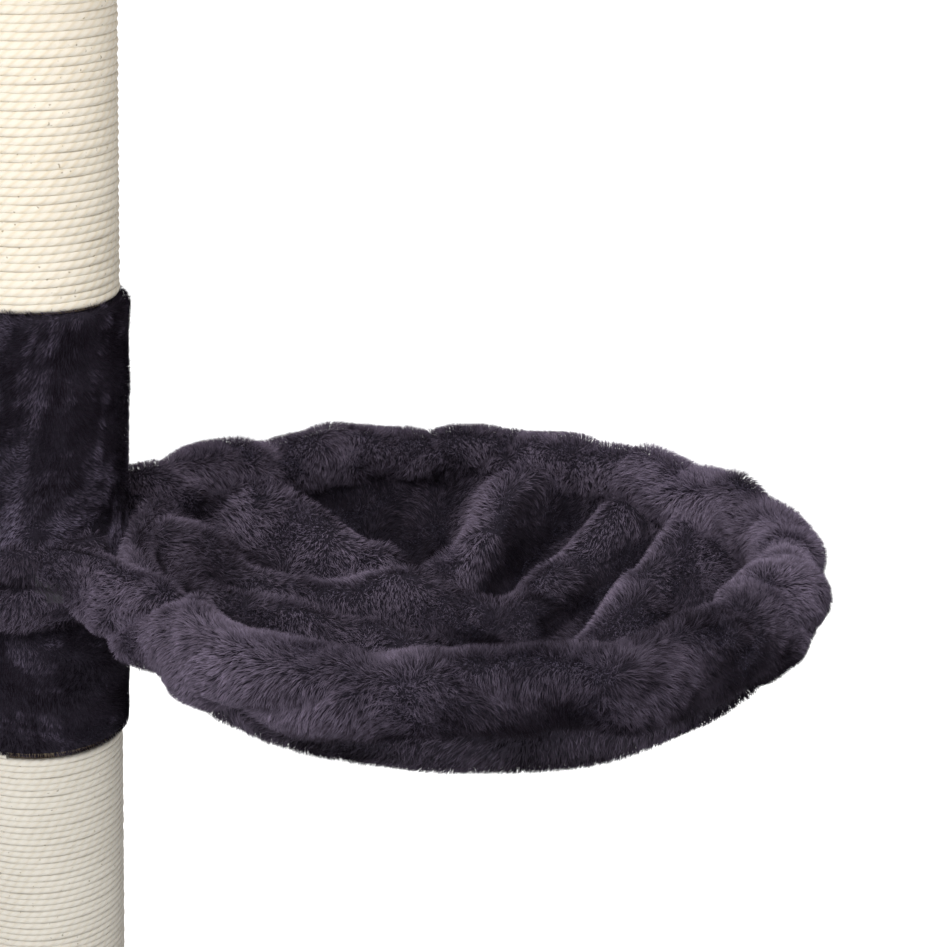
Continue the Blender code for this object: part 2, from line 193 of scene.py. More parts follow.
def node(tree, kind, settings, inputs, output=0):
    """Adds one node: its type, its settings first, then its sockets' values or links."""
    made = tree.nodes.new("ShaderNode" + kind)
    for name, value in settings.items():
        if name == "stops":
            ramp = made.color_ramp
            while len(ramp.elements) < len(value):
                ramp.elements.new(0.5)
            for element, (position, colour) in zip(ramp.elements, value):
                element.position, element.color = position, (*colour, 1.0)
        else:
            setattr(made, name, value)
    for name, value in inputs.items():
        if isinstance(value, Sum):
            tree.links.new(value.socket, made.inputs[name])
        else:
            made.inputs[name].default_value = value
    return Sum(made.outputs[output])


def mix(tree, factor, first, second):
    """Mixes two colours, each a link or a triple of numbers."""
    full = {0: factor}
    for place, colour in ((6, first), (7, second)):
        full[place] = colour if isinstance(colour, Sum) else (*colour, 1.0)
    return node(tree, "Mix", {"data_type": "RGBA"}, full, 2)


def finish(name, roughness=0.5, **constants):
    """A new material with its constants set, as (material, tree, shader)."""
    material = bpy.data.materials.new(name)
    material.use_nodes = True
    tree = material.node_tree
    shader = tree.nodes["Principled BSDF"]
    shader.inputs["Roughness"].default_value = roughness
    for socket, value in constants.items():
        shader.inputs[socket.replace("_", " ")].default_value = value
    return material, tree, shader


def feed(tree, shader, **links):
    """Links sums into the shader's sockets."""
    for socket, value in links.items():
        tree.links.new(value.socket, shader.inputs[socket.replace("_", " ")])


def places(tree, scale=(1, 1, 1)):
    """Object coordinates, stretched by a Mapping node."""
    here = node(tree, "TexCoord", {}, {}, 3)
    return node(tree, "Mapping", {}, {"Vector": here, "Scale": scale})


def noise(tree, where, scale, detail=3.0, rough=0.5):
    return node(tree, "TexNoise", {}, {"Vector": where, "Scale": scale, "Detail": detail,
                                       "Roughness": rough})


def bump(tree, height, strength, distance):
    return node(tree, "Bump", {}, {"Height": height, "Strength": strength, "Distance": distance})


print("shader helpers ready")

# %% [markdown]
# ## Camera, light and floor
#
# The camera stands a little above the hammock and looks down on it from the front,
# close enough that the post fills the left edge of the picture. A large soft light
# from the upper left models the pile, a weaker one from the right fills it, and a
# pale floor and sky keep everything around the tree bright.

# %% Camera
EYE = (POST_X + 0.1962, -1.3647, RING_Z + 0.5084)
PITCH = math.radians(18.43)
HEADING = math.radians(2.58)
ROLL = math.radians(2.36)
FOCAL = 36.0 * 2.573  # millimetres on a 36 mm sensor

camera = bpy.data.objects.new("camera", bpy.data.cameras.new("camera"))
bpy.context.scene.collection.objects.link(camera)
camera.data.lens = FOCAL
camera.data.sensor_width = 36.0
camera.location = EYE
ahead = np.array([math.sin(HEADING) * math.cos(PITCH),
                  math.cos(HEADING) * math.cos(PITCH), -math.sin(PITCH)])
level = np.array([math.cos(HEADING), -math.sin(HEADING), 0.0])
above = np.cross(level, ahead)
across = level * math.cos(ROLL) + above * math.sin(ROLL)
upward = above * math.cos(ROLL) - level * math.sin(ROLL)
turn = np.stack([across, upward, -ahead], 1)
camera.rotation_mode = "QUATERNION"
camera.rotation_quaternion = Matrix(turn.tolist()).to_quaternion()
camera.data.clip_start, camera.data.clip_end = 0.05, 50.0
bpy.context.scene.camera = camera
print("camera at", [round(c, 3) for c in EYE], "lens", round(FOCAL, 1))


# %% Light and floor
def soft_light(name, place, target, size, watts):
    """A square area light at a place, turned to face a target."""
    lamp = bpy.data.lights.new(name, "AREA")
    lamp.size = size
    lamp.energy = watts
    obj = bpy.data.objects.new(name, lamp)
    bpy.context.scene.collection.objects.link(obj)
    obj.location = place
    facing = Vector(target) - Vector(place)
    obj.rotation_mode = "QUATERNION"
    obj.rotation_quaternion = facing.to_track_quat("-Z", "Y")
    return obj


hammock_middle = (RING_X, 0.0, RING_Z)
soft_light("key_light", (-0.40, -2.0, 2.4), hammock_middle, 1.1, 72.0)
soft_light("fill_light", (2.2, -1.4, 1.4), hammock_middle, 1.6, 9.0)
soft_light("top_light", (0.1, 0.5, 2.6), hammock_middle, 1.4, 26.0)

world = bpy.data.worlds.new("studio")
world.use_nodes = True
world.node_tree.nodes["Background"].inputs["Color"].default_value = (1.0, 1.0, 1.0, 1.0)
world.node_tree.nodes["Background"].inputs["Strength"].default_value = 0.36
bpy.context.scene.world = world

FLOOR_SIZE = 40.0
corner = FLOOR_SIZE / 2
floor_points = np.array([(-corner, -corner, 0), (corner, -corner, 0),
                         (corner, corner, 0), (-corner, corner, 0)])
floor = new_mesh("studio_floor", floor_points, np.array([[0, 1, 2, 3]]), smooth=False)
white, tree, shader = finish("studio_white", roughness=0.9, Emission_Strength=1.0)
shader.inputs["Base Color"].default_value = (0.60, 0.60, 0.60, 1.0)
# The floor glows white away from the tree, and its glow is dimmed within about 0.4 m of the floor's middle,
# under the tree: a painted shade.
away = node(tree, "VectorMath", {"operation": "LENGTH"}, {"Vector": places(tree)}, 1)
feed(tree, shader, Emission_Color=mix(tree, away.over(0.40, 0.10), (0.10, 0.10, 0.10), (0.95, 0.95, 0.95)))
floor.data.materials.append(white)
bpy.context.scene.view_settings.view_transform = "Standard"
print("studio ready")

# %% [markdown]
# ## Sisal rope
#
# A scratching post is wound with twisted sisal, each turn pressed against the last.
# One way to make it is a bumpy cylinder. Here the rope is a real helix instead: a
# round section swept round the post, so that the outline of the post is scalloped by
# its turns. The twist of the three strands and the loose fibres lie in the finish,
# which knows how far along the rope each point is.


# %% Rope finish
def sisal(name, pale, groove_shade, lay):
    """Twisted natural rope: u is metres along it and v is turns round its section."""
    material, tree, shader = finish(name, roughness=0.85)
    uv = node(tree, "UVMap", {"uv_map": "lie"}, {})
    along = node(tree, "SeparateXYZ", {}, {"Vector": uv}, 0)
    round_it = node(tree, "SeparateXYZ", {}, {"Vector": uv}, 1)
    # Three strands: a wave that turns round the section once for each lay of rope.
    strand = node(tree, "Math", {"operation": "SINE"}, {0: (round_it * 3.0 - along * (3.0 / lay)) * TAU})
    crest = strand * 0.5 + 0.5
    across_strand = (round_it * 3.0 - along * (3.0 / lay)) * 5.0
    fibre_place = node(tree, "CombineXYZ", {}, {"X": along * 260.0, "Y": across_strand})
    fibres = noise(tree, fibre_place, 1.0, 4.0, 0.65)
    patches = noise(tree, places(tree), 30.0, 3.0, 0.6)
    specks = noise(tree, places(tree), 420.0, 1.0, 0.4)
    # Painted shade: the grooves between the strands are painted darker, the deeper the darker.
    deep = (1.0 - crest) ** 2.4
    body = mix(tree, patches.over(0.5, 0.25), pale, tuple(c * 0.90 for c in pale))
    grained = mix(tree, fibres.over(0.45, 0.3) * 0.55, body, tuple(min(c * 1.12, 1.0) for c in pale))
    laid = mix(tree, deep * (0.12 + patches * 0.42), grained, groove_shade)
    colour = mix(tree, specks.over(0.76, 0.03) * 0.7, laid, tuple(c * 0.35 for c in groove_shade))
    height = crest ** 0.6 * (0.35 + patches * 0.5) + fibres * 0.45
    feed(tree, shader, Base_Color=colour, Normal=bump(tree, height, 0.6, 0.0005))
    return material


def wound_rope(name, node_name, pitch, thick, start, facets, material):
    """Rope round the post: point = axis + (R + r cos b) outwards, climbing with each turn.

    R is the tube's radius and half the rope, r half the rope, b the turn round its
    section, and the rope climbs one pitch for each turn round the post.
    """
    low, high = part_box(node_name)
    half = pitch / 2
    thick = thick / 2
    turns = (high.z - low.z - pitch * 1.28) / pitch
    steps = int(turns * 76)
    a = np.linspace(0, turns * TAU, steps + 1)[:, None]
    b = np.linspace(0, TAU, facets + 1)[None, :-1]
    wobble = 0.00022 * np.sin(a * 0.37 + 1.0) + 0.00016 * np.sin(a * 5.3) + 0.00012 * np.sin(a * 11.7)
    reach = TUBE_RADIUS + 0.0003 + thick + thick * np.cos(b) + wobble * 0.6
    height = low.z + half * 1.28 + a / TAU * pitch + half * 1.27 * np.sin(b) + wobble * 0.8
    turn = a + start
    points = np.stack([POST_X + reach * np.cos(turn), reach * np.sin(turn), height + 0 * reach], -1)
    faces = grid_faces(steps + 1, facets, wrap_columns=True)
    metres = a / TAU * TAU * (TUBE_RADIUS + thick)
    u = np.repeat(metres, facets + 1, 1)
    v = np.repeat(np.linspace(0, 1, facets + 1)[None], steps + 1, 0)
    i, j = np.divmod(np.arange(steps * facets), facets)
    corner_rows = np.stack([i, i + 1, i + 1, i], 1)
    corner_columns = np.stack([j, j, j + 1, j + 1], 1)
    uv = np.stack([u[corner_rows, corner_columns], v[corner_rows, corner_columns]], -1)
    rope = new_mesh(name, points.reshape(-1, 3), faces[:, ::-1], uv.reshape(-1, 4, 2)[:, ::-1].reshape(-1, 2))
    put_on(rope, "stand", "sisal", material)
    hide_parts(node_name)
    print(name, round(turns, 1), "turns,", round(float(metres[-1, 0]), 1), "m of rope")
    return rope


upper_sisal = sisal("sisal_cream", (0.592, 0.548, 0.470), (0.50, 0.39, 0.22), 0.021)
lower_sisal = sisal("sisal_pale", (0.500, 0.472, 0.420), (0.46, 0.39, 0.28), 0.017)
wound_rope("upper_rope", "upper_sisal", 0.0047, 0.0050, -2.6, 8, upper_sisal)
wound_rope("lower_rope", "lower_sisal", 0.0040, 0.0050, 0.4, 8, lower_sisal)

# %% [markdown]
# ## Hair
#
# Plush is a knitted backing with a dense cut pile. Blender has hair curves, but this
# model has to stay a plain mesh, so every hair is a bent blade of two triangles: a
# root, a pair of points halfway up, and a tip. Roots are scattered evenly over a
# surface. Each hair leans with the nap, wanders with a slow wave, and draws in towards
# the middle of its own little lock, which is what gives plush its ragged tufts.


# %% Scattering and waves
def drift(points, size, seed):
    """A smooth random direction at each point: a sum of sine waves of about this size."""
    rng = np.random.default_rng(seed)
    waves = rng.normal(size=(7, 3)) * (2.2 / size)
    phases = rng.uniform(0, TAU, (7, 3))
    tilt = points @ waves.T
    return np.stack([np.sin(tilt + phases[:, k]).sum(1) / 2.6 for k in range(3)], -1)


def lock_centre(points, size, seed):
    """The nearest of many jittered grid points, one for each cube of this size."""
    cube = np.floor(points / size)
    best = np.full(len(points), 1e9)
    nearest = np.zeros_like(points)
    for step in np.ndindex(3, 3, 3):
        cell = cube + np.array(step) - 1.0
        mixed = cell @ np.array([[127.1, 269.5, 419.2], [311.7, 183.3, 371.9], [74.7, 246.1, 53.3]])
        middle = (cell + np.modf(np.abs(np.sin(mixed + seed) * 43758.5))[0]) * size
        gap = ((middle - points) ** 2).sum(1)
        closer = gap < best
        best[closer] = gap[closer]
        nearest[closer] = middle[closer]
    return nearest


def scatter(points, count, seed, wrap_rows=False, wrap_columns=False):
    """Random places on a grid surface, chosen by area, with their normals."""
    rng = np.random.default_rng(seed)
    normals = grid_normals(points, wrap_rows, wrap_columns)
    cells = grid_faces(*points.shape[:2], wrap_rows, wrap_columns)
    flat, facing = points.reshape(-1, 3), normals.reshape(-1, 3)
    a, b, c, d = (flat[cells[:, k]] for k in range(4))
    area = np.linalg.norm(np.cross(c - a, d - b), axis=1)
    chosen = rng.choice(len(cells), count, p=area / area.sum())
    s, t = rng.random((2, count, 1))
    shares = ((1 - s) * (1 - t), s * (1 - t), s * t, (1 - s) * t)
    where = sum(share * flat[cells[chosen, k]] for k, share in enumerate(shares))
    normal = sum(share * facing[cells[chosen, k]] for k, share in enumerate(shares))
    return where, unit(normal)


def across_surface(vectors, normals):
    """The part of each vector that lies in the surface."""
    return vectors - normals * (vectors * normals).sum(1, keepdims=True)


WILDNESS = 0.45  # how far each hair leans its own way


def hairs(name, roots, normals, nap, length, seed, shade, width=0.0004, lock=0.004, pull=0.4):
    """Blades from their roots: half of each stands, and half follows the nap and its lock.

    Middle = root + L/2 along the leaning normal. Tip = middle + L/2 turned further into
    the nap, drawn sideways towards the middle of the lock.
    """
    rng = np.random.default_rng(seed)
    count = len(roots)
    size = length * rng.uniform(0.7, 1.15, (count, 1))
    centre = lock_centre(roots, lock, seed)
    draw = across_surface(centre - roots, normals) * pull
    lean = across_surface(nap, normals) + 0.25 * across_surface(drift(roots, 0.03, seed), normals)
    lean = lean + WILDNESS * across_surface(rng.normal(size=(count, 3)) * 0.5, normals)
    first = unit(normals + 0.55 * lean)
    second = unit(normals * 0.55 + 1.0 * lean + 1e-6)
    middle = roots + first * size * 0.5 + draw * 0.35
    tip = middle + second * size * 0.5 + draw * 0.65
    side = unit(np.cross(first, rng.normal(size=(count, 3)))) * width * rng.uniform(0.7, 1.2, (count, 1)) / 2
    sunk = roots - normals * 0.0006
    points = np.stack([sunk, middle - side, middle + side, tip], 1).reshape(-1, 3)
    first_corner = np.arange(count)[:, None] * 4
    faces = (first_corner[:, :, None] + np.array([[0, 2, 1], [1, 2, 3]])).reshape(-1, 3)
    lock_tone = np.modf(np.abs(np.sin(centre @ np.array([913.0, 571.0, 357.0])) * 971.0))[0]
    # Each hair's paleness: its lock's and its own random share, plus the painted light and shade passed in as
    # shade.
    tone_and_shade = np.clip(0.25 * lock_tone + 0.30 * rng.random(count) + 0.9 * shade - 0.22, 0, 1)
    up = np.array([[0, 0.5, 0.5], [0.5, 0.5, 1.0]])
    uv = np.stack([np.broadcast_to(tone_and_shade[:, None, None], (count, 2, 3)),
                   np.broadcast_to(up, (count, 2, 3))], -1).reshape(-1, 2)
    made = new_mesh(name, points, faces, uv, smooth=False)
    print(name, count, "hairs")
    return made


# %% [markdown]
# ## Plush finish
#
# A hair is painted dark where it is buried, a painted shade, and pale at its tip, and
# plush has a bloom at a grazing angle. The pile knows how far up each hair a point is,
# so the finish runs from a near-black root to a blue-grey tip, and a constant sheen adds
# the bloom. How pale each hair is also holds painted light and shade.


# %% Plush materials
def plush(name, root, tip, sheen=0.10):
    """Pile: u is how pale the hair is, a random spread with painted light and shade, and v runs from its root
    to its tip.
    """
    material, tree, shader = finish(name, roughness=0.8, Specular_IOR_Level=0.08, Sheen_Weight=sheen,
                                    Sheen_Roughness=0.35, Sheen_Tint=(0.62, 0.56, 0.9, 1.0))
    uv = node(tree, "UVMap", {"uv_map": "lie"}, {})
    tone_and_shade = node(tree, "SeparateXYZ", {}, {"Vector": uv}, 0)
    up = node(tree, "SeparateXYZ", {}, {"Vector": uv}, 1)
    patches = noise(tree, places(tree), 38.0, 2.0, 0.5)
    # Near-black at the root, a painted shade where the hair is buried, rising to the tip colour.
    shade = (up ** 1.2) * (0.03 + tone_and_shade * 1.05 + (patches - 0.5) * 0.4)
    feed(tree, shader, Base_Color=mix(tree, shade, root, tip))
    return material


def backing(name, colour):
    """The knitted ground under a pile: dark, with a fine rib that shows where the pile parts."""
    material, tree, shader = finish(name, roughness=0.95, Specular_IOR_Level=0.1)
    where = places(tree)
    rib = noise(tree, where, 900.0, 2.0, 0.5)
    blotch = noise(tree, where, 60.0, 3.0, 0.6)
    pale = tuple(c * 2.2 for c in colour)
    feed(tree, shader, Base_Color=mix(tree, rib * 0.5 + blotch * 0.4, colour, pale),
         Normal=bump(tree, rib, 0.6, 0.0004))
    return material


pile = plush("pile", (0.006, 0.004, 0.007), (0.270, 0.222, 0.312))
# The sleeves' pile is the same plush painted darker at the tip: a painted shade.
shaded_sleeve_pile = plush("shaded_sleeve_pile", (0.005, 0.003, 0.006), (0.226, 0.190, 0.278), 0.06)
ground = backing("pile_ground", (0.012, 0.010, 0.015))
print("plush ready")

# %% [markdown]
# ## The hammock's roll
#
# The hammock's edge is a hem of plush rolled round a steel ring. Where the ring meets
# the post the roll is cut open, and its two ends are pressed flat against the post.
# Carrying one section along one path makes all of it: the section is round on the
# ring and tall and thin at the ends. A few pinches and slow lumps break its outline.
# Between the two ends a thin padded neck covers the ring.


# %% The roll's path and section
def steadied(values, reach):
    """A running mean along the first axis that keeps the two ends."""
    kernel = np.hanning(2 * reach + 1)
    padded = np.concatenate([values[:1].repeat(reach, 0), values, values[-1:].repeat(reach, 0)])
    return np.stack([np.convolve(c, kernel / kernel.sum(), "valid") for c in padded.T], 1)


def on_ring(angle, reach, height):
    """A point by its turn from the post, its distance from the ring's middle and its height."""
    angle, reach, height = np.broadcast_arrays(angle, reach, height)
    return np.stack([RING_X - reach * np.cos(angle), -reach * np.sin(angle), RING_Z + height], -1)


# turn from the post in degrees, height of the middle, half width, half height, shift
# outwards from the ring, in millimetres
ROLL = np.array([
    (11, 3, 3.5, 17, 0), (15, 1, 4.5, 20, 0), (19, -2, 7, 23, 0), (24, -5, 11, 25, 0),
    (30, -8, 15, 25, 0), (40, -10, 18, 21, 0), (50, -11, 19, 20, 0), (62, -10, 18, 20, 0),
    (75, -7, 18, 19, 0), (90, -4, 17, 18, 0), (105, -1, 18, 18, 0), (118, -1, 19, 18, -1),
    (130, -1, 21, 19, -2), (142, 1, 25, 20, -5), (155, 3, 25, 20, -6), (166, 2, 20, 19, -4),
    (178, 0, 17, 18, -1), (200, 0, 16, 16, 0), (225, 0, 16, 15, 0), (250, 2, 15, 15, 0),
    (275, 3, 15, 15, 0), (300, 4, 15, 15, 0), (315, 6, 16, 16, 0), (330, 9, 18, 18, 0), (339, 10, 17, 21, 0),
    (344, 9, 13, 21, 0), (348, 7, 8, 19, 0), (353, 4, 5, 17, 0), (358, 2, 3.5, 15, 0),
])
arc = np.radians(np.arange(32.0, 335.0, 2.0))
front_end = np.array([(0.019, -0.0650), (0.034, -0.0665), (0.052, -0.0720), (0.069, -0.0840)])
back_end = np.array([(0.064, 0.0800), (0.046, 0.0700), (0.024, 0.0655), (0.002, 0.0640)])
path = np.concatenate([front_end + (POST_X, 0), on_ring(arc, RING_RADIUS, 0)[:, :2], back_end + (POST_X, 0)])
turns = np.concatenate([(11, 16, 21, 26), np.degrees(arc), (340, 345, 351, 358)])
steps = np.concatenate([[0], np.cumsum(np.linalg.norm(np.diff(path, axis=0), axis=1))])
run = np.linspace(0, steps[-1], 560)
centre = steadied(np.stack([np.interp(run, steps, path[:, 0]), np.interp(run, steps, path[:, 1])], 1), 9)
turn_at = np.interp(run, steps, turns)
shape = steadied(np.stack([np.interp(turn_at, ROLL[:, 0], ROLL[:, k]) for k in (1, 2, 3, 4)], 1), 8).T / 1000
lift, wide, tall, shift = shape
print("roll path", round(steps[-1], 3), "m")

# %% The roll's surface
PINCHES = np.array([  # turn, depth as a share, width in degrees, slant in degrees
    (27, 0.30, 2.0, 6), (44, 0.12, 2.5, -8), (64, 0.20, 3.2, 12), (80, 0.10, 2.6, -14),
    (97, 0.12, 2.6, -12), (112, 0.10, 2.8, 10), (129, 0.22, 2.6, 10), (150, 0.12, 3.0, -12),
    (171, 0.18, 3.0, 6), (187, 0.07, 2.2, -5), (207, 0.09, 2.5, 6), (226, 0.10, 2.0, -6),
    (247, 0.09, 1.8, -5), (257, 0.14, 1.6, 4), (263, 0.12, 1.5, -6), (272, 0.18, 1.6, 5),
    (280, 0.16, 1.8, -7), (301, 0.07, 2.5, 6), (318, 0.12, 3.0, -8), (331, 0.12, 2.6, 6),
])
around = np.linspace(0, TAU, 48, endpoint=False)[None]
heading = unit(np.gradient(centre, axis=0))
outward = np.stack([heading[:, 1], -heading[:, 0]], 1)
outward *= np.sign((outward * (centre - (RING_X, 0.0))).sum(1, keepdims=True) + 1e-9)
outward[turn_at < 30] = np.stack([heading[:, 1], -heading[:, 0]], 1)[turn_at < 30]
slanted = turn_at[:, None] - PINCHES[:, 3, None, None] * np.sin(around)
pinch = (PINCHES[:, 1, None, None] * np.exp(-((slanted - PINCHES[:, 0, None, None])
         / PINCHES[:, 2, None, None]) ** 2)).sum(0)
ends = np.minimum(run, run[-1] - run)
closing = np.sqrt(1 - (1 - np.clip(ends / 0.008, 0, 1)) ** 2)[:, None]
slow = 0.05 * np.sin(turn_at * 0.23 + 1.3) + 0.05 * np.sin(turn_at * 0.131 + 4.0)
fullness = (1 - pinch + slow[:, None] * np.sin(around + turn_at[:, None] * 0.13)) * np.maximum(closing, 0.02)
slope = np.clip((20 - turn_at) / 8, 0, 1)[:, None] * -0.012 * np.sin(around)  # the cut end leans
roll = np.empty((len(run), 48, 3))
reach = shift[:, None] + wide[:, None] * np.cos(around) * fullness
roll[..., 0] = centre[:, None, 0] + outward[:, None, 0] * reach + heading[:, None, 0] * slope
roll[..., 1] = centre[:, None, 1] + outward[:, None, 1] * reach + heading[:, None, 1] * slope
roll[..., 2] = RING_Z + lift[:, None] + tall[:, None] * np.sin(around) * fullness
flat_roll = roll.reshape(-1, 3)
lumps = drift(flat_roll, 0.05, 5) * 0.0024 + drift(flat_roll, 0.02, 6) * 0.0010
roll = roll + (lumps * np.repeat(closing, 48, 0)).reshape(roll.shape)
print("roll grid", roll.shape)

# %% Cloth and hair of the roll
DOWN = np.array([0.0, 0.0, -1.0])


def outside_in(points, faces):
    """Faces turned so that a closed shape's volume comes out positive."""
    a, b, c = (points[faces[:, k]] for k in range(3))
    return faces if (np.cross(a, b) * c).sum() > 0 else faces[:, ::-1]


def seal(obj, distance=2e-4):
    """Joins the points that lie on each other at poles and seams."""
    work = bmesh.new()
    work.from_mesh(obj.data)
    bmesh.ops.remove_doubles(work, verts=work.verts, dist=distance)
    work.to_mesh(obj.data)
    work.free()
    return obj


roll_faces = outside_in(roll.reshape(-1, 3), grid_faces(len(run), 48, wrap_columns=True))
roll_cloth = put_on(new_mesh("hammock_roll", roll.reshape(-1, 3), roll_faces), "hammock", "plush", ground)
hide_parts("hammock_rim", "collar_flap")

normal_sign = np.sign((grid_normals(roll, False, True)[200, 0] * np.append(outward[200], 0)).sum())


LIGHT_WAY = unit(np.array([-0.50, -0.45, 0.74]))


def painted_pile_light(roots, normals):
    """Painted light and shade on the pile: pale where it faces the light, dark where it faces away, with
    random paler and darker patches.
    """
    patches = drift(roots, 0.045, 501)[:, 0] * 0.16 + drift(roots, 0.016, 601)[:, 0] * 0.08
    return 0.30 + 0.42 * (normals @ LIGHT_WAY) + patches


ROLL_PAINTED_SHADE = np.array([  # turn round the ring, and how much paler or darker the pile is painted there: painted light and shade
    (0, 0.0), (20, 0.05), (40, 0.10), (58, 0.06), (72, -0.22), (90, -0.40), (112, -0.46),
    (128, -0.56), (142, -0.16), (160, 0.06), (180, 0.0), (205, 0.10), (225, 0.10), (245, 0.0),
    (262, -0.12), (285, -0.06), (300, -0.02), (330, -0.06),
])


def dress_roll(name, first, last, count, seed, length):
    """Hair on one stretch of the roll, leaning down and a little along it."""
    stretch = roll[first:last]
    roots, normals = scatter(stretch, count, seed, wrap_columns=True)
    normals = normals * normal_sign
    nap = DOWN * 0.55 + normals * [0.5, 0.5, 0.0] + drift(roots, 0.022, seed) * 0.5
    turn = np.degrees(np.arctan2(-roots[:, 1], RING_X - roots[:, 0])) % 360
    # Painted light and shade: pale where the pile faces the light, and paler or darker round the ring by the
    # table above.
    shade = painted_pile_light(roots, normals) + np.interp(turn, ROLL_PAINTED_SHADE[:, 0], ROLL_PAINTED_SHADE[:, 1], period=360)
    size = length * (1 - 0.5 * np.exp(-((turn - 352) / 16) ** 2))[:, None]
    return put_on(hairs(name, roots, normals, nap, size, seed, shade), "hammock", "plush", pile)


dress_roll("roll_pile_front", 0, 200, 92000, 11, 0.0085)
dress_roll("roll_pile_right", 199, 360, 75000, 12, 0.0085)
dress_roll("roll_pile_back", 359, 560, 74000, 13, 0.0080)


# %% The neck: the ring's cover between the roll's two ends
neck_turn = np.radians(np.linspace(-26, 26, 60))[:, None]
neck_around = np.linspace(0, TAU, 24, endpoint=False)[None]
neck_size = np.maximum(np.sqrt(np.clip(1 - (neck_turn / neck_turn[-1]) ** 8, 0, 1)), 0.02)
neck = on_ring(neck_turn, RING_RADIUS - 0.0006 + 0.0068 * neck_size * np.cos(neck_around),
               0.0095 * neck_size * np.sin(neck_around))
neck_points = neck.reshape(-1, 3)
neck_faces = outside_in(neck_points, grid_faces(60, 24, wrap_columns=True))
neck_cloth = new_mesh("hammock_neck", neck_points, neck_faces)
put_on(neck_cloth, "hammock", "plush", ground)
roots, normals = scatter(neck, 10000, 14, wrap_columns=True)
from_ring = roots - on_ring(np.arctan2(-roots[:, 1], RING_X - roots[:, 0]), RING_RADIUS, 0.0)
normals = normals * np.sign((normals * from_ring).sum(1, keepdims=True) + 1e-9)
neck_nap = DOWN * 0.5 + drift(roots, 0.02, 14) * 0.5
neck_pile = hairs("neck_pile", roots, normals, neck_nap, 0.0062, 14, painted_pile_light(roots, normals))
put_on(neck_pile, "hammock", "plush", pile)

# %% [markdown]
# ## The hammock's bowl
#
# Inside the ring hangs a loose bowl of the same plush. It is a sheet with no frame of
# its own, so it lies in deep folds that start near the post, where it is gathered,
# and run out into the bowl. Cloth simulation would give folds of its own choosing.
# Here each fold is placed: a crest drawn over the floor of the bowl, with a height
# along it and a slope on each side, is added to the plain bowl.


# %% Bowl and folds
BOWL_FLOOR = -0.084  # height of the plain lining's middle, from the ring
UNDER_DEPTH = 0.092  # depth of the underside's middle below the ring
UNDER_REACH = 0.195


def bowl_edge(turn):
    """The bowl's reach and the height of its edge: inside the roll, and higher by the post."""
    by_post = 1 / (1 + (turn / 25) ** 8)
    inside_roll = np.interp(turn % 360, ROLL[:, 0], ROLL[:, 1], period=360) / 1000 - 0.008
    return 0.190 + 0.0095 * by_post, inside_roll * (1 - by_post) + 0.011 * by_post


def plain_bowl(x, y):
    """Height of a round bowl whose edge rises towards the post: edge - drop x root(1 - r2)."""
    widest, edge = bowl_edge(np.degrees(np.arctan2(-y, -x)))
    hollow = np.sqrt(np.clip(1 - (np.hypot(x, y) / widest) ** 2, 0, 1))
    return edge - (edge - BOWL_FLOOR) * hollow


def fold(x, y, crest, left, right):
    """Height of one fold: its crest's height times a bell of the distance from the crest.

    The crest is a list of (x, y, height) in millimetres. Left and right are the bell's
    widths on the two sides of somebody who walks along it.
    """
    crest = np.array(crest, float) / 1000
    spans = np.concatenate([[0], np.cumsum(np.linalg.norm(np.diff(crest[:, :2], axis=0), axis=1))])
    fine = np.linspace(0, spans[-1], 70)
    line = steadied(np.stack([np.interp(fine, spans, crest[:, k]) for k in range(3)], 1), 5)
    way = unit(np.gradient(line[:, :2], axis=0))
    gap = np.stack([x.ravel(), y.ravel()], 1)[:, None] - line[None, :, :2]
    far = np.hypot(gap[..., 0], gap[..., 1])
    near = far.argmin(1)
    pick = np.arange(len(near))
    offset = gap[pick, near]
    side = way[near, 0] * offset[:, 1] - way[near, 1] * offset[:, 0]
    width = np.where(side > 0, left, right) / 1000
    bell = np.exp(-(far[pick, near] / width) ** 2.5)
    return (line[near, 2] * bell).reshape(x.shape)


FOLDS = [
    ([(-194, 6, 6), (-186, 38, 15), (-176, 70, 23), (-158, 100, 28), (-136, 118, 29), (-116, 131, 30),
      (-100, 132, 29), (-84, 124, 28), (-66, 122, 26), (-47, 113, 22), (-28, 100, 14), (-10, 86, 5)], 11, 28),
    ([(-196, -12, 6), (-182, 28, 14), (-160, 54, 16), (-138, 62, 16), (-110, 72, 15), (-80, 80, 14),
      (-47, 86, 14), (-20, 93, 14), (5, 92, 13), (30, 83, 12), (50, 78, 9), (75, 83, 3)], 9, 15),
    ([(-174, 5, 6), (-146, 32, 14), (-115, 40, 17), (-88, 42, 17), (-59, 44, 16), (-35, 38, 15),
      (-11, 29, 13), (15, 16, 10), (45, 3, 4)], 9, 14),
    ([(80, 176, 14), (70, 172, 28), (50, 164, 35), (34, 150, 36), (24, 130, 33), (12, 116, 27),
      (-6, 114, 18), (-24, 112, 8)], 9, 36),
    ([(122, 152, 14), (100, 144, 20), (80, 130, 21), (62, 114, 17), (44, 98, 8)], 20, 9),
    ([(180, 88, 14), (150, 106, 28), (131, 93, 32), (113, 66, 31), (97, 41, 28), (77, 13, 21),
      (55, -12, 8)], 26, 11),
    ([(-98, 166, -8), (-60, 154, -16), (-25, 148, -18), (-4, 158, -16), (2, 175, -8)], 18, 18),
    ([(146, 132, -6), (118, 120, -16), (88, 96, -18), (60, 70, -11)], 10, 10),
    ([(96, 166, -6), (68, 160, -17), (50, 142, -20), (40, 124, -18), (26, 106, -10)], 9, 9),
    ([(-180, 60, -3), (-152, 88, -11), (-118, 94, -11), (-86, 100, -10), (-50, 106, -8),
      (-20, 110, -4)], 7, 7),
    ([(-160, 28, -3), (-136, 48, -10), (-104, 58, -11), (-70, 62, -10), (-30, 64, -7)], 6, 7),
]

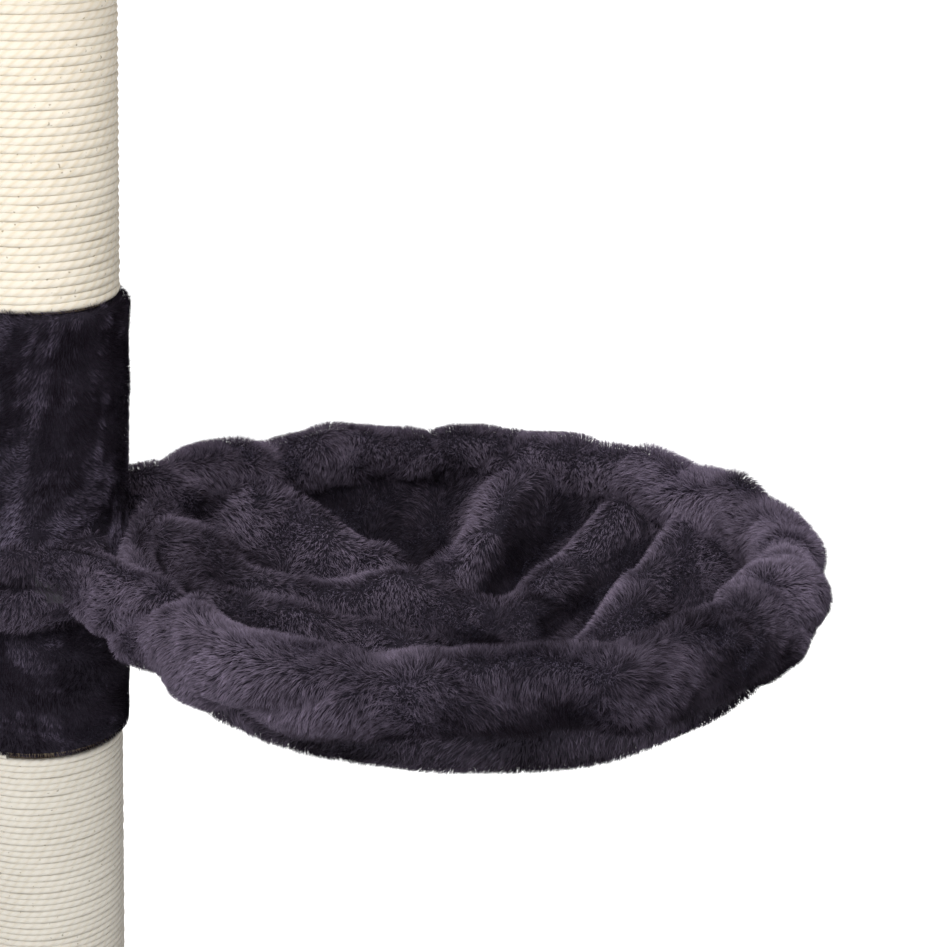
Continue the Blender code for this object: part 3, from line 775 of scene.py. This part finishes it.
bowl_turn = np.linspace(0, TAU, 220, endpoint=False)[None]
bowl_share = np.sin(np.linspace(0, math.pi / 2, 78))[:, None] ** 0.9
bowl_share[0] = 1e-4
signed_turn = (np.degrees(bowl_turn) + 180) % 360 - 180
bowl_reach = bowl_share * bowl_edge(signed_turn)[0]
bowl_x, bowl_y = -bowl_reach * np.cos(bowl_turn), -bowl_reach * np.sin(bowl_turn)
bowl_z = plain_bowl(bowl_x, bowl_y)
raised = sum(fold(bowl_x, bowl_y, *each) for each in FOLDS)
tuck = np.clip((1 - bowl_share) / 0.05, 0, 1)
tuck = np.maximum(tuck * tuck * (3 - 2 * tuck), 0.5 * np.exp(-(signed_turn / 24) ** 2))
lining = np.stack([RING_X + bowl_x, bowl_y, RING_Z + bowl_z + raised * tuck], -1)
lining += (drift(lining.reshape(-1, 3), 0.04, 21) * [0, 0, 0.002]).reshape(lining.shape) * tuck[..., None]
lowest = bowl_edge(signed_turn)[1] - 0.006  # nothing of the lining hangs through the underside
below = np.sqrt(np.clip(1 - (bowl_reach / UNDER_REACH) ** 2, 0, 1))
lowest = lowest - (lowest + UNDER_DEPTH) * below + 0.007
lining[..., 2] = np.maximum(lining[..., 2], RING_Z + lowest)
lining[..., 2] -= 0.012 * np.clip((bowl_share - 0.985) / 0.015, 0, 1) ** 2 * np.exp(-(signed_turn / 26) ** 2)
print("bowl grid", lining.shape)


# %% Lining cloth and its hair
def two_sided(name, top, gap):
    """A closed thin sheet: a grid and its copy moved down by a gap, joined at the edge."""
    under = top - grid_normals(top, False, True) * gap
    if (top - under)[..., 2].mean() < 0:
        under = 2 * top - under
    both = np.concatenate([top, under[::-1]])
    points = both.reshape(-1, 3)
    faces = grid_faces(*both.shape[:2], wrap_columns=True)
    return new_mesh(name, points, outside_in(points, faces))


lining_cloth = seal(two_sided("hammock_lining", lining, 0.002))
put_on(lining_cloth, "hammock", "plush", ground)
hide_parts("hammock_bag")
lining_up = np.sign(grid_normals(lining, False, True)[20, 0, 2])


def dress_bowl(name, first, last, count, seed):
    """Hair on a band of the bowl, leaning downhill."""
    roots, normals = scatter(lining[first:last], count, seed, wrap_columns=True)
    normals = normals * lining_up
    nap = DOWN * 0.8 + drift(roots, 0.025, seed) * 0.45
    x, y = roots[:, 0] - RING_X, roots[:, 1]
    heights = [fold(x, y, *each) for each in FOLDS]
    relief = sum(heights)
    creases = sum(np.minimum(height, 0) for height in heights)
    lit = normals @ unit(np.array([-0.72, -0.50, 0.48]))
    # Painted light and shade: crests and slopes that face the light are painted pale, and creases are painted
    # dark. The first fold and the last ridge get a painted highlight, and so does the cloth near the post.
    shade = -0.30 + 1.1 * lit + np.clip((relief - 0.010) / 0.035, -0.32, 0.2) + creases * 16
    shade += heights[0] * 12 + heights[5] * 5 + 0.44 * np.exp(-((x + 0.140) / 0.095) ** 2)
    return put_on(hairs(name, roots, normals, nap, 0.0080, seed, shade), "hammock", "plush", pile)


lining_pile = [dress_bowl("lining_pile_middle", 0, 36, 75000, 31),
               dress_bowl("lining_pile_edge", 35, 78, 97000, 32)]

# %% [markdown]
# ## The hammock's underside
#
# A second sheet closes the bowl from below. It is smoother than the lining because
# nothing but its own weight shapes it.

# %% Underside
under_turn = np.linspace(0, TAU, 180, endpoint=False)[None]
under_slope = np.linspace(0, math.pi / 2, 50)[:, None]
under_reach = UNDER_REACH * np.maximum(np.sin(under_slope), 1e-5)
under_edge = bowl_edge((np.degrees(under_turn) + 180) % 360 - 180)[1] - 0.006
uneven = 1 + 0.02 * np.sin(3 * under_turn + 0.6)
under_height = under_edge - (under_edge + UNDER_DEPTH) * np.cos(under_slope) * uneven
under = on_ring(under_turn, under_reach, under_height)
sway = np.sin(under_slope) * np.cos(under_slope)
under += (drift(under.reshape(-1, 3), 0.06, 41) * 0.003).reshape(under.shape) * sway[..., None]
under_cloth = seal(two_sided("hammock_underside", under, 0.002))
put_on(under_cloth, "hammock", "plush", ground)
under_down = -np.sign(grid_normals(under, False, True)[5, 0, 2])
roots, normals = scatter(under, 60000, 42, wrap_columns=True)
normals = normals * under_down
nap = normals * [0.4, 0.4, 0] + DOWN * 0.3 + drift(roots, 0.03, 42) * 0.4
# Painted light and shade as on the roll, painted a little darker on the underside.
shade = painted_pile_light(roots, normals) - 0.05
under_pile = hairs("underside_pile", roots, normals, nap, 0.0080, 42, shade, width=0.00055)
put_on(under_pile, "hammock", "plush", pile)

# %% [markdown]
# ## Sleeves and strap
#
# The posts' middle is covered with the same plush, glued on with its pile pointing
# down. A sleeve is a turned profile with rounded ends. A soft double band goes round
# the post behind the hammock's flap and holds it.


# %% Turned sleeves
def turned_grid(profile, columns):
    """A profile of (distance from the post's axis, height), turned round the axis."""
    profile = np.array(profile)
    a = np.linspace(0, TAU, columns, endpoint=False)[None]
    reach, height = profile[:, 0, None], profile[:, 1, None]
    return np.stack([POST_X + reach * np.cos(a), reach * np.sin(a), height + 0 * a], -1)


def sleeve(name, node_name, count, seed, rounding, length, screws=()):
    """A plush sleeve over a CAD sleeve: a wall with a rounded edge at its top and bottom."""
    low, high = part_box(node_name)
    outer, inner = SLEEVE_RADIUS - 0.0022, TUBE_RADIUS + 0.0004
    bend = np.linspace(0, math.pi / 2, 7)
    top = [(outer - rounding * (1 - math.cos(t)), high.z - rounding * (1 - math.sin(t))) for t in bend]
    bottom = [(outer - rounding * (1 - math.sin(t)), low.z + rounding * (1 - math.cos(t))) for t in bend]
    wall = [(outer, z) for z in np.linspace(low.z + rounding, high.z - rounding, 60)[1:-1]]
    side = turned_grid(bottom + wall + top, 120)
    loop = turned_grid([(inner, low.z)] + bottom + wall + top + [(inner, high.z)], 120)
    points = loop.reshape(-1, 3)
    faces = grid_faces(*loop.shape[:2], wrap_rows=True, wrap_columns=True)
    cloth = put_on(new_mesh(name, points, outside_in(points, faces)), "stand", "plush", ground)
    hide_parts(node_name)
    roots, normals = scatter(side, count, seed, wrap_columns=True)
    out = roots - [POST_X, 0, 0]
    out[:, 2] = 0
    normals = normals * np.sign((normals * out).sum(1, keepdims=True) + (normals[:, 2:] * 1e-3))
    nap = DOWN * 0.75 + drift(roots, 0.03, seed) * 0.7
    above_end = roots[:, 2:] - low.z
    is_upper_sleeve = name == "sleeve_upper"  # its lower end has longer hairs and is painted paler
    reach = length * (1 + 0.4 * np.exp(-(above_end / 0.03) ** 2) * is_upper_sleeve)
    dent = 0.0
    for spot in screws:
        away = roots - np.array(spot)
        gap = np.linalg.norm(away, axis=1, keepdims=True)
        nap = nap * (1 - np.exp(-(gap / 0.012) ** 2)) + unit(away) * 1.4 * np.exp(-(gap / 0.012) ** 2)
        reach = reach * (1 - 0.85 * np.exp(-(gap / 0.0060) ** 2))
        dent = dent + np.exp(-(gap[:, 0] / 0.0045) ** 2)
    streak = roots * [1.0, 1.0, 0.8]
    waves = drift(streak, 0.012, seed)[:, 0] * 0.24 + drift(roots, 0.0055, seed)[:, 0] * 0.20
    # Painted light and shade: paler on the side towards the light and darker on the far side, darker on the
    # lower sleeve, and dark spots painted in the screw dents. The upper sleeve is painted paler near its
    # lower end, and the streaks are random.
    shade = 0.04 - 0.36 * normals[:, 0] - 0.12 * (not is_upper_sleeve) + waves
    shade += 0.75 * np.exp(-(above_end[:, 0] / 0.046) ** 2) * is_upper_sleeve - 0.9 * dent
    pile_on = hairs(name + "_pile", roots, normals, nap, reach, seed, shade,
                    width=0.00036, lock=0.0026, pull=0.3)
    put_on(pile_on, "stand", "plush", shaded_sleeve_pile)
    return cloth


screw_spots = []
for number in range(1, 9):
    low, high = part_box(f"side_screw_{number}")
    middle = (low + high) / 2
    out = math.atan2(middle.y, middle.x - POST_X)
    screw_spots.append((POST_X + SLEEVE_RADIUS * math.cos(out), SLEEVE_RADIUS * math.sin(out), middle.z))
sleeve("sleeve_upper", "upper_sleeve", 88000, 51, 0.0030, 0.0048, screw_spots)
sleeve("sleeve_lower", "lower_sleeve", 56000, 52, 0.0030, 0.0048)


# %% The double band
band_turn = np.radians(np.linspace(62, 318, 150))[:, None]
band_around = np.linspace(0, TAU, 40, endpoint=False)[None]
band_low, band_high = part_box("collar_strap")
BAND_RADIUS = 0.0598
band_ends = np.sqrt(1 - (1 - np.clip(np.minimum(band_turn - band_turn[0], band_turn[-1] - band_turn)
                                     / 0.12, 0, 1)) ** 2)
waist = 1 - 0.85 * np.exp(-((np.sin(band_around) - 0.12) / 0.20) ** 2) * (np.cos(band_around) > 0)
thick = 0.0042 * np.cos(band_around) * waist * np.maximum(band_ends, 0.02)
band_reach = BAND_RADIUS + thick
band_middle = (band_low.z + band_high.z) / 2 - 0.006 * np.cos(band_turn - math.pi * 1.2)
band_height = band_middle + 0.023 * np.sin(band_around) * np.maximum(band_ends, 0.02)
band = np.stack([POST_X + band_reach * np.cos(band_turn), band_reach * np.sin(band_turn), band_height], -1)
points = band.reshape(-1, 3)
band_cloth = new_mesh("hammock_band", points, outside_in(points, grid_faces(150, 40, wrap_columns=True)))
put_on(band_cloth, "hammock", "plush", ground)
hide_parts("collar_strap")
roots, normals = scatter(band, 34000, 53, wrap_columns=True)
band_out = band[75, 0] - [POST_X, 0, band[75, 0, 2]]
band_sign = np.sign((grid_normals(band, False, True)[75, 0] * band_out).sum())
nap = DOWN * 0.5 + drift(roots, 0.02, 53) * 0.5
normals = normals * band_sign
# Painted shade: a dark line along the crease between the band's two halves, on top of the pile's painted
# light.
from_crease = roots[:, 2] - band_middle.mean() - 0.002
shade = painted_pile_light(roots, normals) - 0.5 * np.exp(-(from_crease / 0.003) ** 2)
put_on(hairs("band_pile", roots, normals, nap, 0.0060, 53, shade), "hammock", "plush", pile)

# %% [markdown]
# ## Base and perch
#
# Both boards are wrapped over their top and edges with short plush, stapled
# underneath. A cover is a rounded outline carried down the wall, over a soft edge and
# in to a hole round the bolt, and back along its inside. The pile lies flat here, so
# its hairs are wider and fewer.


# %% Covered boards
def outline(half_x, half_y, corner, count):
    """Points round a rectangle with round corners, evenly spaced, and their outward directions."""
    quarter = np.linspace(0, math.pi / 2, 14)
    turn = np.concatenate([quarter + k * math.pi / 2 for k in range(4)])
    sign = np.repeat([(1, 1), (-1, 1), (-1, -1), (1, -1)], 14, 0)
    out = np.stack([np.cos(turn), np.sin(turn)], 1)
    points = sign * (half_x - corner, half_y - corner) + out * corner
    spans = np.linalg.norm(np.diff(points, axis=0, append=points[:1]), axis=1)
    around = np.concatenate([[0], np.cumsum(spans)])
    even = np.linspace(0, around[-1], count, endpoint=False)
    closed = np.concatenate([points, points[:1]])
    facing = np.concatenate([out, out[:1]])
    rings = [np.stack([np.interp(even, around, grid[:, k]) for k in (0, 1)], 1) for grid in (closed, facing)]
    return rings[0], unit(rings[1])


def covered(name, node_name, hole, count, seed):
    """A plush cover: rows from the lip up the wall, over the edge, in to the hole, and back inside."""
    low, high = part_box(node_name)
    middle = np.array([(low.x + high.x) / 2, (low.y + high.y) / 2])
    rim, out = outline((high.x - low.x) / 2, (high.y - low.y) / 2, 0.044, 220)
    toward = unit(rim + middle - (POST_X, 0.0))
    eye = np.array([POST_X, 0.0]) + toward * hole

    def row(inset, z, share=0.0):
        place = (rim + middle - out * inset) * (1 - share) + eye * share
        return np.column_stack([place, np.full(len(place), z)])

    bend = np.linspace(0, math.pi / 2, 6)[1:]
    wall = [row(0.0006 * math.sin(k), z) for k, z in enumerate(np.linspace(low.z, high.z - 0.005, 6))]
    edge = [row(0.005 * (1 - math.cos(t)), high.z - 0.005 * (1 - math.sin(t))) for t in bend]
    top = [row(0.005, high.z, share) for share in np.linspace(0, 1, 26)[1:]]
    inside = [row(0.0046, high.z - 0.0036, share) for share in np.linspace(1, 0, 8)]
    lip = [row(0.0037, low.z)]
    shown = np.stack(wall + edge + top)
    shell = np.stack(wall + edge + top + inside + lip)
    points = shell.reshape(-1, 3)
    faces = outside_in(points, grid_faces(*shell.shape[:2], wrap_rows=True, wrap_columns=True))
    cloth = put_on(new_mesh(name, points, faces), "stand", "plush", flat_ground)
    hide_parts(node_name)
    roots, normals = scatter(shown, count, seed, wrap_columns=True)
    from_middle = roots - [*middle, low.z - 0.02]
    normals = normals * np.sign((normals * from_middle).sum(1, keepdims=True))
    nap = np.array([0.9, -0.5, 0.0]) + DOWN * 0.3 + drift(roots, 0.06, seed) * 0.9
    shade = 0.32 + drift(roots, 0.09, seed)[:, 0] * 0.16 + drift(roots, 0.03, seed)[:, 0] * 0.12
    made = hairs(name + "_pile", roots, normals, nap, 0.0052, seed, shade, width=0.0012, lock=0.007, pull=0.3)
    put_on(made, "stand", "plush", pile)
    return cloth


flat_ground = backing("flat_pile_ground", (0.020, 0.016, 0.023))
washer_low, washer_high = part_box("top_washer")
covered("base_plush", "base_cover", TUBE_RADIUS - 0.006, 66000, 61)
covered("perch_plush", "top_cover", (washer_high.x - washer_low.x) / 2 + 0.001, 38000, 62)

# %% [markdown]
# ## Hard finishes
#
# The boards are chipboard with flakes in several browns, the posts are card tubes
# wound on a slant, the plugs are pine, the screws are bright zinc, the ring and its
# plate are black powder-coated steel, the feet are rubber, and the fastener is nylon.


# %% Hard materials
def chipboard():
    """Pressed wood chips: cells of several browns, stretched along the board."""
    material, tree, shader = finish("chipboard", roughness=0.8)
    where = places(tree, (1.0, 1.0, 2.5))
    flake = node(tree, "TexVoronoi", {}, {"Vector": where, "Scale": 420.0}, 1)
    grey = node(tree, "SeparateColor", {}, {"Color": flake}, 0)
    fine = noise(tree, where, 1500.0, 2.0, 0.6)
    browns = node(tree, "ValToRGB", {"stops": [(0.0, (0.30, 0.19, 0.10)), (0.35, (0.52, 0.37, 0.22)),
                                               (0.7, (0.66, 0.50, 0.32)), (1.0, (0.42, 0.29, 0.17))]},
                  {0: grey})
    feed(tree, shader, Base_Color=mix(tree, fine.over(0.55, 0.2) * 0.5, browns, (0.60, 0.47, 0.31)),
         Roughness=0.7 + grey * 0.25, Normal=bump(tree, grey * 0.5 + fine, 0.5, 0.0004))
    return material


def card():
    """Grey-brown card wound in a slanting band with a fine seam."""
    material, tree, shader = finish("card_tube", roughness=0.9)
    where = places(tree)
    band = node(tree, "TexWave", {"wave_type": "BANDS", "bands_direction": "Z"},
                {"Vector": where, "Scale": 4.0, "Distortion": 0.6})
    fibres = noise(tree, places(tree, (60, 60, 600)), 1.0, 4.0, 0.6)
    base = mix(tree, fibres, (0.30, 0.22, 0.14), (0.46, 0.36, 0.25))
    feed(tree, shader, Base_Color=mix(tree, band.over(0.96, 0.03) * 0.6, base, (0.16, 0.11, 0.07)),
         Normal=bump(tree, fibres, 0.4, 0.0003))
    return material


def pine():
    """Pale turned pine: growth rings about the post's axis, with darker late wood."""
    material, tree, shader = finish("pine", roughness=0.65)
    where = places(tree, (1, 1, 0.15))
    ring = node(tree, "TexWave", {"wave_type": "RINGS", "rings_direction": "Z"},
                {"Vector": where, "Scale": 60.0, "Distortion": 2.5, "Detail": 2.0})
    pores = noise(tree, places(tree, (900, 900, 60)), 1.0, 3.0, 0.6)
    base = mix(tree, ring ** 2.0 * 0.8, (0.72, 0.52, 0.30), (0.48, 0.29, 0.13))
    feed(tree, shader, Base_Color=mix(tree, pores.over(0.62, 0.1) * 0.3, base, (0.36, 0.21, 0.10)),
         Roughness=0.55 + ring * 0.2, Normal=bump(tree, ring + pores * 0.5, 0.3, 0.0003))
    return material


def metal(name, colour, metallic, low_rough, high_rough, grain, coat=0.0):
    """A metal or a powder coat: fine orange peel, with roughness that wanders."""
    material, tree, shader = finish(name, Metallic=metallic, Coat_Weight=coat)
    where = places(tree)
    peel = noise(tree, where, grain, 3.0, 0.5)
    wear = noise(tree, where, 90.0, 4.0, 0.6)
    worn = tuple(min(c * 1.5 + 0.01, 1.0) for c in colour)
    feed(tree, shader, Base_Color=mix(tree, wear.over(0.62, 0.12) * 0.5, colour, worn),
         Roughness=low_rough + wear * (high_rough - low_rough), Normal=bump(tree, peel, 0.35, 0.0002))
    return material


def moulded(name, colour, rough, grain):
    """Rubber or nylon: nearly even, with a fine grain and dusty high spots."""
    material, tree, shader = finish(name)
    where = places(tree)
    fine = noise(tree, where, grain, 3.0, 0.6)
    dust = noise(tree, where, 120.0, 3.0, 0.6)
    dusty = tuple(c * 2.0 + 0.02 for c in colour)
    feed(tree, shader, Base_Color=mix(tree, dust.over(0.58, 0.15) * 0.5, colour, dusty),
         Roughness=rough + dust * 0.15, Normal=bump(tree, fine, 0.5, 0.0003))
    return material


hard = {
    "chipboard": chipboard(), "cardboard": card(), "pine": pine(),
    "zinc_steel": metal("zinc_steel", (0.62, 0.63, 0.65), 1.0, 0.22, 0.5, 1400.0),
    "black_steel": metal("black_steel", (0.020, 0.020, 0.022), 0.0, 0.35, 0.55, 2600.0, 0.2),
    "rubber": moulded("rubber", (0.022, 0.022, 0.023), 0.7, 900.0),
    "nylon": moulded("nylon", (0.018, 0.016, 0.022), 0.6, 3500.0),
}

# %% Give each solid its finish
slots = {entry["node"]: entry["material_slot"] for entry in frame["record"]["subparts"]}
dressed = 0
for name, solid in frame["nodes"].items():
    finish_name = slots.get(name)
    if finish_name in hard:
        solid.data.materials.clear()
        solid.data.materials.append(hard[finish_name])
        dressed += 1
print(dressed, "solids finished")
